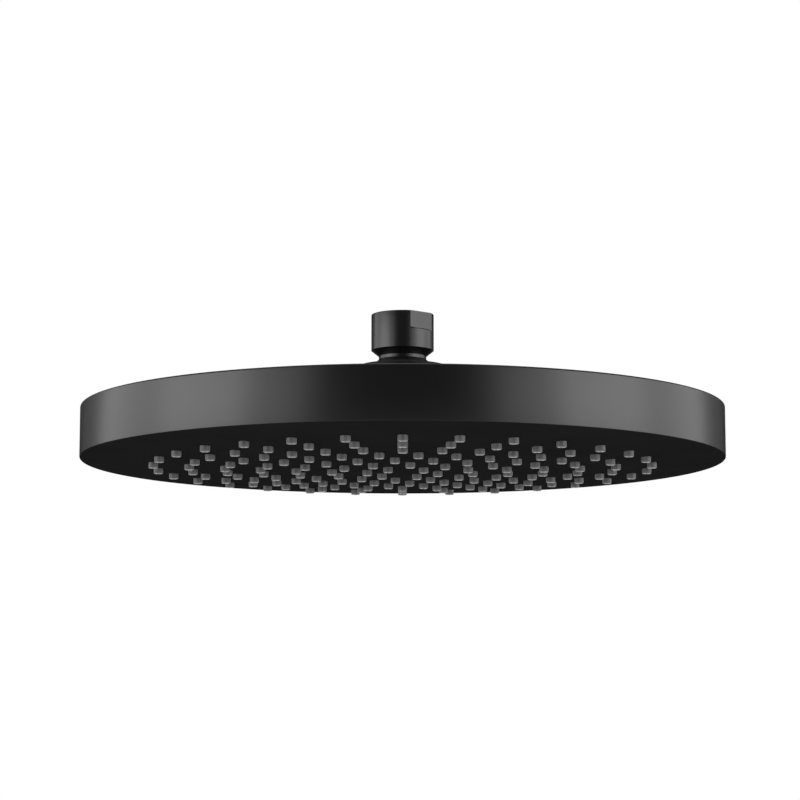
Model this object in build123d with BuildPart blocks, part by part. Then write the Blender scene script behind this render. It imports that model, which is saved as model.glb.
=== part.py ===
# Rain shower head: a round head with a convex nozzle face that hangs on a ball under a threaded inlet.
# Lengths are in millimetres and angles in degrees. Heights are taken from the rim's lower edge.
# The origin is on the inlet's axis where its thread starts, with the head below it.
import os
from math import sqrt

from build123d import *

# Front shell: straight side wall and convex face in one moulding
head_radius = 125.0
wall_height = 19.9
shell_wall = 2.5
face_sag = 3.5
edge_chamfer = 0.4
rim_lip = 1.2

# Nozzles, in rings one pitch apart that all start on the same ray
nozzle_pitch = 13.81
nozzle_turn = 6.04
nozzles_added_per_ring = 6
most_nozzles_in_ring = 30
nozzle_radius = 1.85
nozzle_reach = 2.1
nozzle_sides = 8
nozzle_margin = 1.0
outlet_radius = 0.6
outlet_sides = 6

# Silicone mat that carries the nozzles
mat_thickness = 1.5
bead_width = 3.0
bead_height = 2.5
mat_to_boss = 6.0

# Back plate that closes the water chamber
chamber_height = 7.4
plate_thickness = 2.5
plate_to_wall = 3.5
rib_count = 12
rib_height = 4.0
rib_thickness = 2.0
rib_to_hub = 4.0

# Screws that hold the plate on the front shell
screw_count = 12
screw_inset = 5.0
screw_radius = 1.45
screw_length = 7.5
screw_head_radius = 2.8
screw_head_height = 1.8
boss_wall = 2.0
pilot_spare = 0.5

# Ball and its seats
ball_radius = 14.0
ball_gap = 0.3
ball_cut = 12.0
seat_hole = 8.0
seat_lip = 2.0
seat_wall = 2.1
seat_below_middle = 2.3
seat_above_middle = 2.95
seat_gasket_thickness = 1.5
o_ring_section = 1.25
o_ring_sides = 8
o_ring_sink = 0.1

# Swivel housing, its fastening and the collar that keeps the ball in it
housing_floor = 3.0
housing_wall = 2.5
housing_above_ball = 5.95
flange_rise = 17.5
flange_width = 5.5
flange_thickness = 2.0
flange_chamfer = 0.5
tail_radius = 9.0
tail_spare = 1.0
hub_gasket_thickness = 1.0
hub_gasket_margin = 0.5
housing_washer_thickness = 1.0
nut_height = 4.0
nut_across_flats = 27.0
collar_flange = 1.8
collar_overhang = 1.2
collar_opening_gap = 0.15
collar_chamfer = 0.4
pin_hole_count = 4
pin_hole_radius = 1.0
pin_hole_depth = 1.2

# Domed top cover
cover_wall = 2.5
land_margin = 0.8

# Inlet connector
connector_radius = 12.25
connector_length = 14.25
connector_edge = 0.3
neck_radius = 9.3
neck_length = 1.2
taper_slope = 0.8
across_flats = 21.9
flat_height = 6.8
flat_turn = -48.7
thread_radius = 9.897
thread_length = 8.6
lead_in = 0.6
relief_depth = 0.6
water_bore = 5.5

# Washer, screen and flow regulator in the inlet
washer_thickness = 2.0
washer_hole = 6.5
washer_spare = 0.4
screen_thickness = 0.6
screen_hole_radius = 1.0
screen_hole_circle = 4.0
screen_hole_count = 6
regulator_flange_width = 1.5
regulator_flange_height = 2.0
regulator_length = 6.5
regulator_floor = 1.5
regulator_pin = 2.5
regulator_wall = 1.0
regulator_port_radius = 0.6
regulator_port_count = 6
regulator_ring_section = 0.7

# Shared clearances
seat_gap = 0.1
slip_gap = 0.2
thread_gap = 0.1

# Curved patches that cut the face and the cover reach this many times as far as the head
patch_reach = 1.1


def face_height(radius):
    """Height of the convex face's outer surface at a radius."""
    return face_sag * ((radius / head_radius) ** 2 - 1)


# Heights of the stack, from the face up to the inlet
mat_lift = shell_wall + seat_gap
bead_lift = mat_lift + bead_height
plate_bottom = face_height(0) + mat_lift + mat_thickness + chamber_height
plate_top = plate_bottom + plate_thickness
housing_bottom = plate_top + hub_gasket_thickness
tail_end = plate_bottom - nut_height - tail_spare
cavity_floor = housing_bottom + housing_floor
seat_bottom = cavity_floor + seat_gasket_thickness
socket_radius = ball_radius + ball_gap
ball_height = seat_bottom + seat_lip + sqrt(socket_radius**2 - seat_hole**2)
seat_split = ball_height - seat_below_middle
seat_top = ball_height + seat_above_middle
housing_top = ball_height + housing_above_ball
collar_top = housing_top + collar_flange
flange_bottom = housing_bottom + flange_rise
flange_top = flange_bottom + flange_thickness
land_height = flange_bottom - housing_washer_thickness
ledge_height = wall_height - cover_wall
neck_bottom = ball_height + sqrt(ball_radius**2 - neck_radius**2)
neck_top = neck_bottom + neck_length
body_bottom = neck_top + (connector_radius - neck_radius) * taper_slope
inlet_top = body_bottom + connector_length
thread_start = inlet_top - lead_in
thread_end = thread_start - thread_length
thread_floor = thread_end - washer_spare - washer_thickness

# Radii that follow from pieces that fit each other
plate_radius = head_radius - shell_wall - plate_to_wall
screw_circle = plate_radius - screw_inset
boss_radius = screw_radius + boss_wall
mat_radius = screw_circle - boss_radius - mat_to_boss
chamber_radius = mat_radius - bead_width
ring_count = int((chamber_radius - nozzle_radius - nozzle_margin) / nozzle_pitch)
seat_radius = socket_radius + seat_wall
cavity_radius = seat_radius + thread_gap
housing_radius = cavity_radius + housing_wall
flange_radius = housing_radius + flange_width
land_radius = flange_radius + land_margin
collar_radius = cavity_radius + collar_overhang
collar_opening = connector_radius + collar_opening_gap
relief_radius = thread_radius + relief_depth
washer_radius = relief_radius - seat_gap
regulator_bore = water_bore - seat_gap
groove_floor = ball_radius - o_ring_sink - 2 * o_ring_section - ball_gap
groove_half_height = o_ring_section + ball_gap

# Section plane: x is the radius and y the height above the rim's lower edge
section = Plane(origin=(0, 0, -thread_start), x_dir=(1, 0, 0), z_dir=(0, -1, 0))


def level(height):
    """Horizontal plane at a height above the rim's lower edge."""
    return Plane.XY.offset(height - thread_start)


def bowl(rise, reach, middle_height):
    """Paraboloid patch about the axis that rises by `rise` from its middle to the radius `reach`."""
    corner = patch_reach * head_radius
    bend = rise * (corner / reach) ** 2
    rows = []
    for x, x_bend in ((-corner, bend), (0, -bend), (corner, bend)):
        row = []
        for y, y_bend in ((-corner, bend), (0, -bend), (corner, bend)):
            row.append(Vector(x, y, middle_height - thread_start + x_bend + y_bend))
        rows.append(row)
    return Face.make_bezier_surface(rows)


def face_bowl(lift):
    """The face's outer surface, lifted by a thickness."""
    return bowl(face_sag, head_radius, face_height(0) + lift)


def on_sphere(radius, height):
    """Point of a sphere's section about the ball's centre, at a height."""
    return (sqrt(radius**2 - (height - ball_height) ** 2), height)


def sphere_arc(radius, low, high):
    """Arc of a sphere's section about the ball's centre between two heights."""
    return ThreePointArc(*(on_sphere(radius, h) for h in (low, (low + high) / 2, high)))


def seat_cone(contact_radius, side):
    """Ends of a cone's line that touches the socket's sphere, below (-1) or above (1) its middle."""
    rise = sqrt(socket_radius**2 - contact_radius**2)
    drop = contact_radius / rise * (socket_radius - contact_radius)
    contact = (contact_radius, ball_height + side * rise)
    return contact, (socket_radius, ball_height + side * (rise - drop))


def nozzle_places(ring):
    """Places of one ring's nozzles, numbered from the middle."""
    count = min(nozzles_added_per_ring * ring, most_nozzles_in_ring)
    return PolarLocations(nozzle_pitch * ring, count, nozzle_turn)


# Hollow of the front shell, from the face's inner side up, with a wider step for the cover's edge
with BuildPart() as shell_hollow:
    with BuildSketch(level(face_height(0))):
        Circle(head_radius - shell_wall)
    extrude(amount=wall_height - face_height(0))
    split(bisect_by=face_bowl(shell_wall), keep=Keep.TOP)
    with BuildSketch(level(ledge_height)):
        Circle(head_radius - rim_lip)
    extrude(amount=cover_wall)

# Front shell with its nozzle holes and screw bosses
with BuildPart() as front_shell:
    with BuildSketch(level(2 * face_height(0))):
        Circle(head_radius)
    extrude(amount=wall_height - 2 * face_height(0))
    split(bisect_by=face_bowl(0), keep=Keep.TOP)
    rim_edges = front_shell.edges().group_by(Axis.Z)
    chamfer(rim_edges[0] + rim_edges[-1], edge_chamfer)
    add(shell_hollow.part, mode=Mode.SUBTRACT)
    with BuildSketch(level(plate_bottom)):
        with PolarLocations(screw_circle, screw_count):
            Circle(boss_radius)
    extrude(amount=face_height(screw_circle) + shell_wall / 2 - plate_bottom)
    with BuildSketch(level(plate_bottom)):
        with PolarLocations(screw_circle, screw_count):
            Circle(screw_radius + seat_gap)
    extrude(amount=plate_thickness - screw_length - pilot_spare, mode=Mode.SUBTRACT)
    with BuildSketch(level(2 * face_height(0))):
        for ring in range(1, ring_count + 1):
            with nozzle_places(ring):
                RegularPolygon(nozzle_radius + slip_gap, nozzle_sides, major_radius=False)
    extrude(amount=mat_lift - 2 * face_height(0), mode=Mode.SUBTRACT)

# Nozzle mat: a thin sheet on the face's inner side, with a thick edge and all the nozzles and outlets
with BuildPart() as nozzle_mat:
    bead_top = face_height(mat_radius) + bead_lift
    with BuildSketch(level(face_height(0))):
        Circle(mat_radius)
    extrude(amount=bead_top - face_height(0))
    split(bisect_by=face_bowl(mat_lift), keep=Keep.TOP)
    split(bisect_by=face_bowl(mat_lift + mat_thickness), keep=Keep.BOTTOM)
    with BuildSketch(level(bead_top)):
        Circle(mat_radius)
        Circle(chamber_radius, mode=Mode.SUBTRACT)
    extrude(amount=mat_thickness / 2 - bead_height)
    for ring in range(1, ring_count + 1):
        nozzle_tip = face_height(nozzle_pitch * ring) - nozzle_reach
        with BuildSketch(level(nozzle_tip)):
            with nozzle_places(ring):
                RegularPolygon(nozzle_radius, nozzle_sides, major_radius=False)
        extrude(amount=nozzle_reach + mat_lift + mat_thickness / 2)
    with BuildSketch(level(face_height(0) - nozzle_reach)):
        for ring in range(1, ring_count + 1):
            with nozzle_places(ring):
                RegularPolygon(outlet_radius, outlet_sides)
    extrude(amount=nozzle_reach + face_sag + mat_lift + mat_thickness, mode=Mode.SUBTRACT)

# Back plate: a ribbed disc with a skirt that clamps the mat's edge
with BuildPart() as back_plate:
    with BuildSketch(level(plate_bottom)):
        Circle(plate_radius)
        Circle(tail_radius + slip_gap, mode=Mode.SUBTRACT)
        with PolarLocations(screw_circle, screw_count):
            Circle(screw_radius + slip_gap, mode=Mode.SUBTRACT)
    extrude(amount=plate_thickness)
    with BuildSketch(level(plate_bottom)):
        Circle(mat_radius)
        Circle(chamber_radius, mode=Mode.SUBTRACT)
    extrude(amount=face_height(mat_radius) + bead_lift + seat_gap - plate_bottom)
    rib_start = housing_radius + rib_to_hub
    with BuildSketch(level(plate_top)):
        with PolarLocations((rib_start + mat_radius) / 2, rib_count):
            Rectangle(mat_radius - rib_start, rib_thickness)
    extrude(amount=rib_height)

# Plate screws, one group of equal solids
with BuildPart() as plate_screws:
    with BuildSketch(level(plate_top)):
        with PolarLocations(screw_circle, screw_count):
            Circle(screw_radius)
    extrude(amount=-screw_length)
    with BuildSketch(level(plate_top)):
        with PolarLocations(screw_circle, screw_count):
            Circle(screw_head_radius)
    extrude(amount=screw_head_height)

# Top cover: a shallow dome whose edge lies in the rim and whose land carries the housing
with BuildPart() as top_cover:
    cover_edge = head_radius - rim_lip - slip_gap
    dome_drop = (land_height - wall_height) / (1 - (land_radius / cover_edge) ** 2)
    dome_top = wall_height + dome_drop
    with BuildSketch(level(ledge_height)):
        Circle(cover_edge)
        Circle(housing_radius + slip_gap, mode=Mode.SUBTRACT)
    extrude(amount=land_height - ledge_height)
    split(bisect_by=bowl(-dome_drop, cover_edge, dome_top), keep=Keep.BOTTOM)
    split(bisect_by=bowl(-dome_drop, cover_edge, dome_top - cover_wall), keep=Keep.TOP)

# Swivel housing: a cup round the ball with a flange on the cover and a threaded tail
with BuildPart() as swivel_housing:
    with BuildSketch(section):
        with BuildLine():
            Polyline(
                (water_bore, tail_end),
                (tail_radius, tail_end),
                (tail_radius, housing_bottom),
                (housing_radius, housing_bottom),
                (housing_radius, flange_bottom),
                (flange_radius, flange_bottom),
                (flange_radius, flange_top),
                (housing_radius, flange_top),
                (housing_radius, housing_top),
                (cavity_radius, housing_top),
                (cavity_radius, cavity_floor),
                (water_bore, cavity_floor),
                close=True,
            )
        make_face()
    revolve(axis=Axis.Z)
    flange_edges = swivel_housing.edges().filter_by(GeomType.CIRCLE).sort_by(SortBy.RADIUS)[-2:]
    chamfer(flange_edges, flange_chamfer)

# Rings that seal and clamp the housing
with BuildPart() as housing_washer:
    with BuildSketch(level(land_height)):
        Circle(flange_radius)
        Circle(housing_radius + slip_gap, mode=Mode.SUBTRACT)
    extrude(amount=housing_washer_thickness)

with BuildPart() as hub_gasket:
    with BuildSketch(level(plate_top)):
        Circle(housing_radius - hub_gasket_margin)
        Circle(tail_radius + slip_gap, mode=Mode.SUBTRACT)
    extrude(amount=hub_gasket_thickness)

with BuildPart() as hub_nut:
    with BuildSketch(level(plate_bottom)):
        RegularPolygon(nut_across_flats / 2, 6, major_radius=False)
        Circle(tail_radius + thread_gap, mode=Mode.SUBTRACT)
    extrude(amount=-nut_height)

# Seats round the ball
with BuildPart() as seat_gasket:
    with BuildSketch(level(cavity_floor)):
        Circle(seat_radius)
        Circle(seat_hole, mode=Mode.SUBTRACT)
    extrude(amount=seat_gasket_thickness)

with BuildPart() as lower_seat_ring:
    with BuildSketch(section):
        with BuildLine():
            Polyline(
                *seat_cone(seat_hole, -1),
                (socket_radius, seat_split),
                (seat_radius, seat_split),
                (seat_radius, seat_bottom),
                (seat_hole, seat_bottom),
                close=True,
            )
        make_face()
    revolve(axis=Axis.Z)

with BuildPart() as upper_seat_ring:
    with BuildSketch(level(seat_split)):
        Circle(seat_radius)
        Circle(socket_radius, mode=Mode.SUBTRACT)
    extrude(amount=seat_top - seat_split)

# Retaining collar: screws into the housing and holds the ball by a round lip
with BuildPart() as retaining_collar:
    with BuildSketch(section):
        with BuildLine():
            Polyline(
                (socket_radius, seat_top),
                *reversed(seat_cone(collar_opening, 1)),
                (collar_opening, collar_top),
                (collar_radius, collar_top),
                (collar_radius, housing_top),
                (seat_radius, housing_top),
                (seat_radius, seat_top),
                close=True,
            )
        make_face()
    revolve(axis=Axis.Z)
    top_edges = retaining_collar.edges().group_by(Axis.Z)[-1]
    chamfer(top_edges.sort_by(SortBy.RADIUS)[-1], collar_chamfer)
    with BuildSketch(level(collar_top)):
        with PolarLocations((collar_opening + collar_radius) / 2, pin_hole_count):
            Circle(pin_hole_radius)
    extrude(amount=-pin_hole_depth, mode=Mode.SUBTRACT)

# Seal that rides in a groove round the ball
with BuildPart() as ball_o_ring:
    with BuildSketch(section):
        with Locations((ball_radius - o_ring_sink - o_ring_section, ball_height)):
            RegularPolygon(o_ring_section, o_ring_sides, False, 180 / o_ring_sides)
    revolve(axis=Axis.Z)

# Inlet connector: threaded socket, wrench flats, neck and ball turned from one bar
with BuildPart() as inlet_connector:
    ball_end = ball_height - ball_cut
    groove_low = ball_height - groove_half_height
    groove_high = ball_height + groove_half_height
    regulator_seat = water_bore + regulator_flange_width
    with BuildSketch(section):
        with BuildLine():
            lower = sphere_arc(ball_radius, ball_end, groove_low)
            upper = sphere_arc(ball_radius, groove_high, neck_bottom)
            Polyline(lower @ 1, (groove_floor, groove_low), (groove_floor, groove_high), upper @ 0)
            Polyline(
                upper @ 1,
                (neck_radius, neck_top),
                (connector_radius, body_bottom),
                (connector_radius, inlet_top),
                (thread_radius + lead_in, inlet_top),
                (thread_radius, thread_start),
                (thread_radius, thread_end),
                (relief_radius, thread_end),
                (relief_radius, thread_floor),
                (regulator_seat, thread_floor),
                (regulator_seat, thread_floor - regulator_flange_height),
                (water_bore, thread_floor - regulator_flange_height),
                (water_bore, ball_end),
                lower @ 0,
            )
        make_face()
    revolve(axis=Axis.Z)
    mouth_edges = inlet_connector.edges().group_by(Axis.Z)[-1]
    chamfer(mouth_edges.sort_by(SortBy.RADIUS)[-1], connector_edge)
    with BuildSketch(level(inlet_top)):
        with PolarLocations(across_flats / 2 + connector_radius, 2, flat_turn):
            Rectangle(2 * connector_radius, 2 * connector_radius)
    extrude(amount=-flat_height, mode=Mode.SUBTRACT)

# Inlet washer and the screen in its hole
with BuildPart() as inlet_washer:
    with BuildSketch(level(thread_floor)):
        Circle(washer_radius)
        Circle(washer_hole, mode=Mode.SUBTRACT)
    extrude(amount=washer_thickness)

with BuildPart() as inlet_screen:
    with BuildSketch(level(thread_floor)):
        Circle(washer_hole - seat_gap)
        Circle(screen_hole_radius, mode=Mode.SUBTRACT)
        with PolarLocations(screen_hole_circle, screen_hole_count):
            Circle(screen_hole_radius, mode=Mode.SUBTRACT)
    extrude(amount=screen_thickness)

# Flow regulator: a flanged cup with a middle pin, ports in its floor and a rubber ring on the pin
with BuildPart() as flow_regulator:
    regulator_floor_top = thread_floor - regulator_length + regulator_floor
    channel_radius = regulator_bore - regulator_wall
    with BuildSketch(level(thread_floor - regulator_length)):
        Circle(regulator_bore)
    extrude(amount=regulator_length)
    with BuildSketch(level(thread_floor - regulator_flange_height)):
        Circle(regulator_bore + regulator_flange_width)
    extrude(amount=regulator_flange_height)
    with BuildSketch(level(regulator_floor_top)):
        Circle(channel_radius)
        Circle(regulator_pin, mode=Mode.SUBTRACT)
    extrude(amount=regulator_length - regulator_floor, mode=Mode.SUBTRACT)
    with BuildSketch(level(regulator_floor_top)):
        with PolarLocations((channel_radius + regulator_pin) / 2, regulator_port_count):
            Circle(regulator_port_radius)
    extrude(amount=-regulator_floor, mode=Mode.SUBTRACT)

with BuildPart() as regulator_ring:
    with BuildSketch(section):
        ring_middle = regulator_pin + seat_gap + regulator_ring_section
        with Locations((ring_middle, regulator_floor_top + regulator_ring_section)):
            RegularPolygon(regulator_ring_section, o_ring_sides, False, 180 / o_ring_sides)
    revolve(axis=Axis.Z)

pieces = {
    "front_shell": front_shell,
    "nozzle_mat": nozzle_mat,
    "back_plate": back_plate,
    "plate_screws": plate_screws,
    "top_cover": top_cover,
    "swivel_housing": swivel_housing,
    "housing_washer": housing_washer,
    "hub_gasket": hub_gasket,
    "hub_nut": hub_nut,
    "seat_gasket": seat_gasket,
    "lower_seat_ring": lower_seat_ring,
    "upper_seat_ring": upper_seat_ring,
    "retaining_collar": retaining_collar,
    "ball_o_ring": ball_o_ring,
    "inlet_connector": inlet_connector,
    "inlet_washer": inlet_washer,
    "inlet_screen": inlet_screen,
    "flow_regulator": flow_regulator,
    "regulator_ring": regulator_ring,
}
os.makedirs("parts", exist_ok=True)
for name, piece in pieces.items():
    piece.part.label = name
    export_step(piece.part, f"parts/{name}.step")
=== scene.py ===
from math import cos, pi, radians, sin

import bpy
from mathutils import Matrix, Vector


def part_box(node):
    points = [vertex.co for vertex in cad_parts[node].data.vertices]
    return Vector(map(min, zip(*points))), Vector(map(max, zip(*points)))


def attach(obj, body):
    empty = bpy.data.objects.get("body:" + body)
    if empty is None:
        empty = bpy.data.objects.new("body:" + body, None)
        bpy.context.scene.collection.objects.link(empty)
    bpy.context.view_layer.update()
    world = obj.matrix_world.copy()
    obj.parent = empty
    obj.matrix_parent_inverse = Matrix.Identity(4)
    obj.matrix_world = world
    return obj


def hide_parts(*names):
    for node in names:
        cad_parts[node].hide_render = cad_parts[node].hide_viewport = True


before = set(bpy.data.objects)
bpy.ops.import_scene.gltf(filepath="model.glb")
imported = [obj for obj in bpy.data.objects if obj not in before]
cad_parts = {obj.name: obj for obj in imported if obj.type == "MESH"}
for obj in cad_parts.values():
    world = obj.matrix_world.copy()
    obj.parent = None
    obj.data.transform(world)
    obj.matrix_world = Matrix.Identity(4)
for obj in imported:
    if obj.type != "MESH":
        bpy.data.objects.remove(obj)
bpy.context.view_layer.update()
mm = 0.001
mergeReach = 0.000001
print("frame loaded", len(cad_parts))


def clearSelection():
    for other in bpy.context.selected_objects:
        other.select_set(False)


def pick(piece):
    clearSelection()
    piece.select_set(True)
    bpy.context.view_layer.objects.active = piece


def drawProfile(name, points):
    bpy.ops.object.select_all(action="DESELECT")
    bpy.ops.mesh.primitive_plane_add(size=0.01)
    piece = bpy.context.active_object
    piece.name = name
    bpy.ops.object.mode_set(mode="EDIT")
    bpy.ops.mesh.select_all(action="SELECT")
    bpy.ops.mesh.merge(type="CENTER")
    last = (0.0, 0.0)
    for number, point in enumerate(points):
        step = ((point[0] - last[0]) * mm, 0, (point[1] - last[1]) * mm)
        if number == 0:
            bpy.ops.transform.translate(value=step)
        else:
            bpy.ops.mesh.extrude_region_move(TRANSFORM_OT_translate={"value": step})
        last = point
    return piece


def spinProfile(name, points, steps):
    piece = drawProfile(name, points)
    bpy.ops.mesh.select_all(action="SELECT")
    bpy.ops.mesh.spin(steps=steps, angle=2 * pi, center=(0, 0, 0), axis=(0, 0, 1))
    bpy.ops.mesh.select_all(action="SELECT")
    bpy.ops.mesh.remove_doubles(threshold=mergeReach)
    bpy.ops.mesh.normals_make_consistent(inside=False)
    bpy.ops.object.mode_set(mode="OBJECT")
    return piece


def copyPiece(piece, shift):
    twin = piece.copy()
    twin.data = piece.data.copy()
    bpy.context.collection.objects.link(twin)
    twin.location = (shift[0] * mm, shift[1] * mm, shift[2] * mm)
    return twin


def joinPieces(main, others):
    pick(main)
    for other in others:
        other.select_set(True)
    bpy.ops.object.join()
    bpy.ops.object.transform_apply(location=True, rotation=True, scale=True)
    return bpy.context.active_object


def smoothEdges(piece, angle):
    pick(piece)
    bpy.ops.object.shade_smooth_by_angle(angle=radians(angle))


def corner(middle, radius, start, end, steps):
    points = []
    for step in range(steps + 1):
        turn = radians(start + (end - start) * step / steps)
        points.append((middle[0] + radius * cos(turn), middle[1] + radius * sin(turn)))
    return points


# Materials
grain = dict(broadDetail=3, fineDetail=2, rampLow=0.3, rampHigh=0.7, bumpDistance=0.0001)


def newMaterial(name, colour, roughness, metallic, specular):
    material = bpy.data.materials.new(name)
    material.use_nodes = True
    shader = material.node_tree.nodes["Principled BSDF"]
    shader.inputs["Base Color"].default_value = (*colour, 1)
    shader.inputs["Roughness"].default_value = roughness
    shader.inputs["Metallic"].default_value = metallic
    shader.inputs["Specular IOR Level"].default_value = specular
    return material, shader


def addNoise(material, scale, detail):
    nodes, links = material.node_tree.nodes, material.node_tree.links
    place = nodes.new("ShaderNodeTexCoord")
    noise = nodes.new("ShaderNodeTexNoise")
    noise.inputs["Scale"].default_value = scale
    noise.inputs["Detail"].default_value = detail
    links.new(place.outputs["Object"], noise.inputs["Vector"])
    return noise


def varyColour(material, shader, noise, dark, light):
    nodes, links = material.node_tree.nodes, material.node_tree.links
    ramp = nodes.new("ShaderNodeValToRGB")
    ramp.color_ramp.elements[0].position = grain["rampLow"]
    ramp.color_ramp.elements[0].color = (*dark, 1)
    ramp.color_ramp.elements[1].position = grain["rampHigh"]
    ramp.color_ramp.elements[1].color = (*light, 1)
    links.new(noise.outputs["Fac"], ramp.inputs["Fac"])
    links.new(ramp.outputs["Color"], shader.inputs["Base Color"])


def varyRoughness(material, shader, noise, low, high):
    nodes, links = material.node_tree.nodes, material.node_tree.links
    spread = nodes.new("ShaderNodeMapRange")
    spread.inputs["To Min"].default_value = low
    spread.inputs["To Max"].default_value = high
    links.new(noise.outputs["Fac"], spread.inputs["Value"])
    links.new(spread.outputs["Result"], shader.inputs["Roughness"])


def addBump(material, shader, noise, strength, distance):
    nodes, links = material.node_tree.nodes, material.node_tree.links
    bump = nodes.new("ShaderNodeBump")
    bump.inputs["Strength"].default_value = strength
    bump.inputs["Distance"].default_value = distance
    links.new(noise.outputs["Fac"], bump.inputs["Height"])
    links.new(bump.outputs["Normal"], shader.inputs["Normal"])


def finishedMaterial(name, look):
    material, shader = newMaterial(name, look["light"], look["rough"][0], look["metal"], look["specular"])
    broad = addNoise(material, look["broad"], grain["broadDetail"])
    fine = addNoise(material, look["fine"], grain["fineDetail"])
    varyColour(material, shader, broad, look["dark"], look["light"])
    varyRoughness(material, shader, broad, *look["rough"])
    addBump(material, shader, fine, look["bump"], grain["bumpDistance"])
    return material, shader


looks = {
    "satinBlack": dict(dark=(0.0042, 0.004, 0.004), light=(0.0052, 0.005, 0.005), rough=(0.29, 0.32),
                       metal=0, specular=0.5, broad=30, fine=2500, bump=0.02),
    "matteBlack": dict(dark=(0.0102, 0.01, 0.01), light=(0.0122, 0.012, 0.012), rough=(0.85, 0.95),
                       metal=0, specular=0.0, broad=40, fine=4000, bump=0.1),
    "blackMetal": dict(dark=(0.0052, 0.005, 0.005), light=(0.0064, 0.0062, 0.0062), rough=(0.3, 0.33),
                       metal=0, specular=0.5, broad=60, fine=3000, bump=0.02),
    "collarBlack": dict(dark=(0.0082, 0.008, 0.008), light=(0.0102, 0.01, 0.01), rough=(0.5, 0.55),
                        metal=0, specular=0.12, broad=60, fine=3000, bump=0.05),
    "greySilicone": dict(dark=(0.09, 0.09, 0.092), light=(0.113, 0.113, 0.115), rough=(0.3, 0.38),
                         metal=0, specular=0.5, broad=120, fine=5000, bump=0.05),
    "innerPlastic": dict(dark=(0.55, 0.54, 0.5), light=(0.62, 0.61, 0.57), rough=(0.4, 0.5),
                         metal=0, specular=0.5, broad=40, fine=3000, bump=0.05),
    "seatPlastic": dict(dark=(0.68, 0.67, 0.64), light=(0.74, 0.73, 0.7), rough=(0.35, 0.45),
                        metal=0, specular=0.5, broad=60, fine=3000, bump=0.05),
    "blackRubber": dict(dark=(0.012, 0.012, 0.012), light=(0.02, 0.02, 0.02), rough=(0.6, 0.75),
                        metal=0, specular=0.4, broad=80, fine=4000, bump=0.1),
    "brushedSteel": dict(dark=(0.5, 0.5, 0.5), light=(0.6, 0.6, 0.6), rough=(0.25, 0.35),
                         metal=1, specular=0.5, broad=90, fine=5000, bump=0.05),
    "turnedBrass": dict(dark=(0.62, 0.42, 0.16), light=(0.7, 0.49, 0.2), rough=(0.25, 0.35),
                        metal=1, specular=0.5, broad=90, fine=5000, bump=0.05),
}
materials = {}
for lookName, look in looks.items():
    materials[lookName], lastShader = finishedMaterial(lookName, look)
    if lookName == "greySilicone":
        lastShader.inputs["Subsurface Weight"].default_value = 0.35
        lastShader.inputs["Subsurface Scale"].default_value = 0.0015
        lastShader.inputs["Subsurface Radius"].default_value = (1, 1, 1)
        lastShader.inputs["Sheen Weight"].default_value = 0.5
        lastShader.inputs["Sheen Roughness"].default_value = 0.3
slotLooks = {
    "black_shell": "satinBlack",
    "black_metal": "blackMetal",
    "grey_silicone": "greySilicone",
    "inner_plastic": "innerPlastic",
    "seat_plastic": "seatPlastic",
    "black_rubber": "blackRubber",
    "steel": "brushedSteel",
    "brass": "turnedBrass",
}
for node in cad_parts.values():
    node.material_slots[0].material = materials[slotLooks[node.material_slots[0].material.name]]
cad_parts["retaining_collar"].material_slots[0].material = materials["collarBlack"]
print("materials set", len(materials))

# Front shell: spun with rounded rim edges, and the matte face apart from the satin wall
shell = dict(radius=125.0, wall=2.5, height=19.9, sag=3.5, lip=1.2, step=2.5, lowEdge=0.4, topEdge=0.7,
             faceGap=0.1, lowStart=-80, edgeSteps=4, domeSteps=24, spin=240, smooth=32, faceTilt=-0.2,
             bossCircle=114.0, bossRadius=3.45, bossTop=8.0, bosses=12, bossSides=20)
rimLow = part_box("front_shell")[1].z / mm - shell["height"]  # the rim's lower edge


def faceHeight(radius):
    return shell["sag"] * ((radius / shell["radius"]) ** 2 - 1)


def domePoints(lift, start, end, steps):
    points = []
    for step in range(steps + 1):
        radius = start + (end - start) * step / steps
        points.append((radius, faceHeight(radius) + lift + rimLow))
    return points


rimInside = shell["radius"] - shell["lowEdge"]
rimTopInside = shell["radius"] - shell["topEdge"]
wallInside = shell["radius"] - shell["wall"]
lipInside = shell["radius"] - shell["lip"]
lowMiddle = (rimInside, faceHeight(rimInside) + shell["lowEdge"] + rimLow)
topMiddle = (rimTopInside, shell["height"] - shell["topEdge"] + rimLow)
rimTop = shell["height"] + rimLow
ledgeTop = shell["height"] - shell["step"] + rimLow
shellPoints = domePoints(0, 0, rimInside - shell["faceGap"], shell["domeSteps"])
shellPoints += corner(lowMiddle, shell["lowEdge"], shell["lowStart"], 0, shell["edgeSteps"])
shellPoints += corner(topMiddle, shell["topEdge"], 0, 90, shell["edgeSteps"])
shellPoints += [(lipInside, rimTop), (lipInside, ledgeTop), (wallInside, ledgeTop)]
shellPoints += domePoints(shell["wall"], wallInside, 0, shell["domeSteps"])
frontShell = spinProfile("frontShell", shellPoints, shell["spin"])
bossList = []
for number in range(shell["bosses"]):
    turn = 2 * pi * number / shell["bosses"]
    bossFoot = faceHeight(shell["bossCircle"]) + shell["wall"] / 2
    bossTall = shell["bossTop"] - bossFoot
    bpy.ops.object.select_all(action="DESELECT")
    bpy.ops.mesh.primitive_cylinder_add(
        vertices=shell["bossSides"], radius=shell["bossRadius"] * mm, depth=bossTall * mm,
        location=(shell["bossCircle"] * cos(turn) * mm, shell["bossCircle"] * sin(turn) * mm,
                  (bossFoot + bossTall / 2 + rimLow) * mm))
    bossList.append(bpy.context.active_object)
frontShell = joinPieces(frontShell, bossList)
smoothEdges(frontShell, shell["smooth"])
frontShell.data.materials.clear()
frontShell.data.materials.append(materials["satinBlack"])
frontShell.data.materials.append(materials["matteBlack"])
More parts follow.
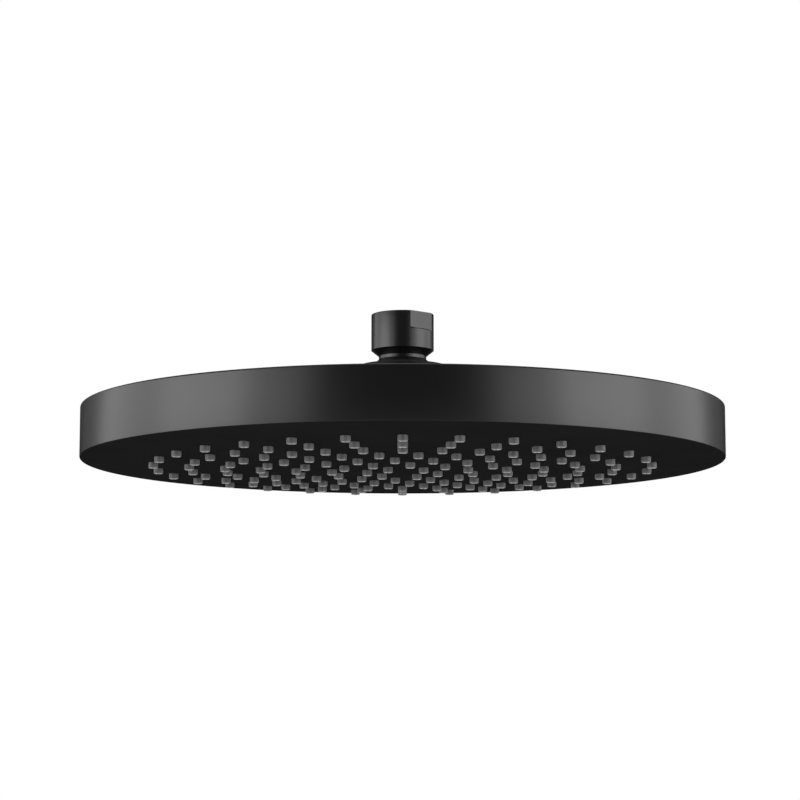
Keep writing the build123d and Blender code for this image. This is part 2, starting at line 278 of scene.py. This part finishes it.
for face in frontShell.data.polygons:
    outside = face.center.z < (shell["lowEdge"] + rimLow) * mm
    if face.normal.z < shell["faceTilt"] and outside:
        face.material_index = 1
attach(frontShell, "head")
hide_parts("front_shell")
print("front shell", len(frontShell.data.polygons))

# Nozzle field: the silicone sheet with a thick edge and round nozzles with outlet bores
field = dict(pitch=13.81, turn=6.04, added=6, most=30, rings=7, sides=16, sheetSteps=12, spin=96,
             lift=2.6, thick=1.5, radius=104.55, bead=3.0, beadLift=5.1, smooth=40,
             nozzle=[(0, 0.3), (1.85, 0.3), (1.85, -1.7), (1.75, -1.98), (1.5, -2.1), (0.62, -2.1),
                     (0.5, 0.1), (0, 0.1)])
beadInside = field["radius"] - field["bead"]
beadTop = faceHeight(field["radius"]) + field["beadLift"] + rimLow
sheetPoints = domePoints(field["lift"], 0, field["radius"], field["sheetSteps"])
sheetPoints += [(field["radius"], beadTop), (beadInside, beadTop)]
sheetPoints += domePoints(field["lift"] + field["thick"], beadInside, 0, field["sheetSteps"])
nozzleField = spinProfile("nozzleField", sheetPoints, field["spin"])
nozzle = spinProfile("nozzle", field["nozzle"], field["sides"])
nozzleList = []
for ring in range(1, field["rings"] + 1):
    count = min(field["added"] * ring, field["most"])
    for number in range(count):
        turn = radians(field["turn"]) + 2 * pi * number / count
        reach = field["pitch"] * ring
        place = (reach * cos(turn), reach * sin(turn), faceHeight(reach) + rimLow)
        nozzleList.append(copyPiece(nozzle, place))
clearSelection()
bpy.data.objects.remove(nozzle)
nozzleField = joinPieces(nozzleField, nozzleList)
smoothEdges(nozzleField, field["smooth"])
nozzleField.data.materials.clear()
nozzleField.data.materials.append(materials["greySilicone"])
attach(nozzleField, "head")
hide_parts("nozzle_mat")
print("nozzle field", len(nozzleField.data.polygons))

# Inlet connector: spun in one piece, with the wrench flats cut and their ledges softened
inlet = dict(radius=12.25, top=58.128, edge=0.3, bodyLow=43.878, neckTop=41.518, neckLow=40.318, neck=9.3,
             ball=14.0, ballHeight=29.853, ballCut=12.0, groove=11.1, grooveHalf=1.55, bore=5.5, seat=7.0,
             seatLow=44.528, floor=46.528, relief=10.497, threadLow=48.928, wall=9.897, leadIn=0.6,
             flats=21.9, flatTall=6.8, flatTurn=-48.7, ledge=0.35, ledgeReach=0.05, ledgeLevel=0.01,
             spin=144, arcSteps=14, edgeSteps=3, smooth=20)


def ballPoints(low, high):
    points = []
    for step in range(inlet["arcSteps"] + 1):
        height = low + (high - low) * step / inlet["arcSteps"]
        points.append(((inlet["ball"] ** 2 - (height - inlet["ballHeight"]) ** 2) ** 0.5, height + rimLow))
    return points


grooveLow = inlet["ballHeight"] - inlet["grooveHalf"]
grooveHigh = inlet["ballHeight"] + inlet["grooveHalf"]
ballEnd = inlet["ballHeight"] - inlet["ballCut"]
inletPoints = ballPoints(ballEnd, grooveLow)
inletPoints += [(inlet["groove"], grooveLow + rimLow), (inlet["groove"], grooveHigh + rimLow)]
inletPoints += ballPoints(grooveHigh, inlet["neckLow"])
inletPoints += [(inlet["neck"], inlet["neckTop"] + rimLow), (inlet["radius"], inlet["bodyLow"] + rimLow)]
edgeMiddle = (inlet["radius"] - inlet["edge"], inlet["top"] - inlet["edge"] + rimLow)
inletPoints += corner(edgeMiddle, inlet["edge"], 0, 90, inlet["edgeSteps"])
socketPoints = [
    (inlet["wall"] + inlet["leadIn"], inlet["top"]),
    (inlet["wall"], inlet["top"] - inlet["leadIn"]),
    (inlet["wall"], inlet["threadLow"]),
    (inlet["relief"], inlet["threadLow"]),
    (inlet["relief"], inlet["floor"]),
    (inlet["seat"], inlet["floor"]),
    (inlet["seat"], inlet["seatLow"]),
    (inlet["bore"], inlet["seatLow"]),
    (inlet["bore"], ballEnd),
]
for radius, height in socketPoints:
    inletPoints.append((radius, height + rimLow))
inletPoints.append(inletPoints[0])
inletConnector = spinProfile("inletConnector", inletPoints, inlet["spin"])
for half in (0, 180):
    turn = radians(inlet["flatTurn"] + half)
    away = inlet["flats"] / 2 + inlet["radius"]
    bpy.ops.object.select_all(action="DESELECT")
    bpy.ops.mesh.primitive_cube_add(size=1)
    cutter = bpy.context.active_object
    cutter.scale = (2 * inlet["radius"] * mm, 2 * inlet["radius"] * mm, 2 * inlet["flatTall"] * mm)
    cutter.rotation_euler = (0, 0, turn)
    cutter.location = (away * cos(turn) * mm, away * sin(turn) * mm, (inlet["top"] + rimLow) * mm)
    bpy.ops.object.transform_apply(location=True, rotation=True, scale=True)
    pick(inletConnector)
    flatCut = inletConnector.modifiers.new("flatCut", "BOOLEAN")
    flatCut.operation = "DIFFERENCE"
    flatCut.solver = "EXACT"
    flatCut.object = cutter
    bpy.ops.object.modifier_apply(modifier="flatCut")
    bpy.data.objects.remove(cutter)
ledgeHeight = (inlet["top"] - inlet["flatTall"] + rimLow) * mm
pick(inletConnector)
bpy.ops.object.mode_set(mode="EDIT")
bpy.ops.mesh.select_mode(type="EDGE")
bpy.ops.mesh.select_all(action="DESELECT")
bpy.ops.object.mode_set(mode="OBJECT")
points = inletConnector.data.vertices
for edge in inletConnector.data.edges:
    ends = [points[index].co for index in edge.vertices]
    onLedge = all(abs(end.z - ledgeHeight) < inlet["ledgeLevel"] * mm for end in ends)
    outside = all(end.xy.length > (inlet["radius"] - inlet["ledgeReach"]) * mm for end in ends)
    edge.select = onLedge and outside
bpy.ops.object.mode_set(mode="EDIT")
bpy.ops.mesh.bevel(offset=inlet["ledge"] * mm, segments=1, affect="EDGES")
bpy.ops.mesh.select_all(action="SELECT")
bpy.ops.mesh.normals_make_consistent(inside=False)
bpy.ops.mesh.select_mode(type="VERT")
bpy.ops.object.mode_set(mode="OBJECT")
smoothEdges(inletConnector, inlet["smooth"])
inletConnector.data.materials.clear()
inletConnector.data.materials.append(materials["blackMetal"])
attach(inletConnector, "inlet")
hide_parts("inlet_connector")
print("inlet connector", len(inletConnector.data.polygons))

# Thread ridges inside the inlet, on the socket's wall
thread = dict(wall=9.93, crest=9.32, pitch=1.814, foot=0.62, tip=0.18, top=-0.5, turns=4, steps=64, smooth=35)
threadBottom = thread["top"] - thread["foot"] - thread["turns"] * thread["pitch"]
threadPoints = [
    (thread["wall"], threadBottom + thread["foot"]),
    (thread["crest"], threadBottom + thread["tip"]),
    (thread["crest"], threadBottom - thread["tip"]),
    (thread["wall"], threadBottom - thread["foot"]),
    (thread["wall"], threadBottom + thread["foot"]),
]
inletThread = drawProfile("inletThread", threadPoints)
bpy.ops.mesh.select_all(action="SELECT")
bpy.ops.mesh.remove_doubles(threshold=mergeReach)
bpy.ops.object.mode_set(mode="OBJECT")
pick(inletThread)
twist = inletThread.modifiers.new("twist", "SCREW")
twist.axis = "Z"
twist.screw_offset = thread["pitch"] * mm
twist.iterations = thread["turns"]
twist.steps = thread["steps"]
twist.render_steps = thread["steps"]
twist.use_merge_vertices = True
bpy.ops.object.modifier_apply(modifier="twist")
bpy.ops.object.mode_set(mode="EDIT")
bpy.ops.mesh.select_all(action="SELECT")
bpy.ops.mesh.remove_doubles(threshold=mergeReach)
bpy.ops.mesh.normals_make_consistent(inside=False)
bpy.ops.object.mode_set(mode="OBJECT")
smoothEdges(inletThread, thread["smooth"])
inletThread.data.materials.clear()
inletThread.data.materials.append(materials["blackMetal"])
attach(inletThread, "inlet")
print("inlet thread", len(inletThread.data.polygons))

# Floor, reflections' dark surround, lights, world and camera
stage = dict(floorZ=-0.36, floorSize=8, drapeRadius=2.3, drapeTall=3.6, drapeSink=0.05, drapeSides=64)
bpy.ops.object.select_all(action="DESELECT")
bpy.ops.mesh.primitive_plane_add(size=stage["floorSize"], location=(0, 0, stage["floorZ"]))
floor = bpy.context.active_object
floor.name = "floor"
floorMaterial, floorShader = newMaterial("paleFloor", (0.86, 0.86, 0.86), 0.9, 0, 0.2)
floorNodes, floorLinks = floorMaterial.node_tree.nodes, floorMaterial.node_tree.links
floorSide = floorNodes.new("ShaderNodeNewGeometry")
floorOpen = floorNodes.new("ShaderNodeBsdfTransparent")
floorMix = floorNodes.new("ShaderNodeMixShader")  # a view from below looks through the floor
floorLinks.new(floorSide.outputs["Backfacing"], floorMix.inputs["Fac"])
floorLinks.new(floorShader.outputs["BSDF"], floorMix.inputs[1])
floorLinks.new(floorOpen.outputs["BSDF"], floorMix.inputs[2])
floorLinks.new(floorMix.outputs["Shader"], floorNodes["Material Output"].inputs["Surface"])
floor.data.materials.append(floorMaterial)
drapeMiddle = stage["floorZ"] + stage["drapeTall"] / 2 - stage["drapeSink"]
bpy.ops.object.select_all(action="DESELECT")
bpy.ops.mesh.primitive_cylinder_add(
    vertices=stage["drapeSides"], radius=stage["drapeRadius"], depth=stage["drapeTall"],
    end_fill_type="NOTHING", location=(0, 0, drapeMiddle))
drape = bpy.context.active_object
drape.name = "drape"
drape.data.materials.append(newMaterial("blackDrape", (0.02, 0.02, 0.02), 1.0, 0, 0.0)[0])
drape.visible_camera = False  # only reflections see it
drape.visible_diffuse = False
drape.visible_transmission = False
drape.visible_shadow = False


def softLight(name, place, target, size, power):
    lightData = bpy.data.lights.new(name, "AREA")
    lightData.shape = "RECTANGLE"
    lightData.size, lightData.size_y = size
    lightData.energy = power
    light = bpy.data.objects.new(name, lightData)
    bpy.context.collection.objects.link(light)
    light.location = place
    aim = Vector(target) - Vector(place)
    light.rotation_euler = aim.to_track_quat("-Z", "Y").to_euler()


lightSetup = dict(distance=1.05, height=0.12, tall=0.6, target=(0, 0, -0.02),
                  panels=((44, 0.5, 1.75), (70, 0.62, 4.5), (105, 0.72, 2.6), (134, 0.5, 0.13)))
for side in (-1, 1):
    for turn, wide, power in lightSetup["panels"]:  # angle from the camera's side, width, watts
        across = side * lightSetup["distance"] * sin(radians(turn))
        along = -lightSetup["distance"] * cos(radians(turn))
        place = (across, along, lightSetup["height"])
        softLight("sideLight", place, lightSetup["target"], (wide, lightSetup["tall"]), power)

world = bpy.data.worlds.new("studio")
bpy.context.scene.world = world
world.use_nodes = True
worldNodes, worldLinks = world.node_tree.nodes, world.node_tree.links
sky = worldNodes["Background"]
sky.inputs["Color"].default_value = (1, 1, 1, 1)
rays = worldNodes.new("ShaderNodeLightPath")
seen = worldNodes.new("ShaderNodeMath")
seen.operation = "MAXIMUM"
seenAll = worldNodes.new("ShaderNodeMath")
seenAll.operation = "MAXIMUM"
level = worldNodes.new("ShaderNodeMapRange")
level.inputs["To Min"].default_value = 0.62  # soft fill on the object
level.inputs["To Max"].default_value = 1.0
worldLinks.new(rays.outputs["Is Camera Ray"], seen.inputs[0])
worldLinks.new(rays.outputs["Is Glossy Ray"], seen.inputs[1])
worldLinks.new(seen.outputs["Value"], seenAll.inputs[0])
worldLinks.new(rays.outputs["Is Transmission Ray"], seenAll.inputs[1])
worldLinks.new(seenAll.outputs["Value"], level.inputs["Value"])
worldLinks.new(level.outputs["Result"], sky.inputs["Strength"])

view = dict(place=(0, -0.9403, -0.163), pitch=7.864, yaw=0.061, lens=109.17, sensor=36)
cameraData = bpy.data.cameras.new("camera")
cameraData.lens = view["lens"]
cameraData.sensor_width = view["sensor"]
camera = bpy.data.objects.new("camera", cameraData)
bpy.context.collection.objects.link(camera)
camera.location = view["place"]
camera.rotation_euler = (radians(90 + view["pitch"]), 0, radians(view["yaw"]))
bpy.context.scene.camera = camera
bpy.context.scene.view_settings.view_transform = "Standard"
print("stage set")
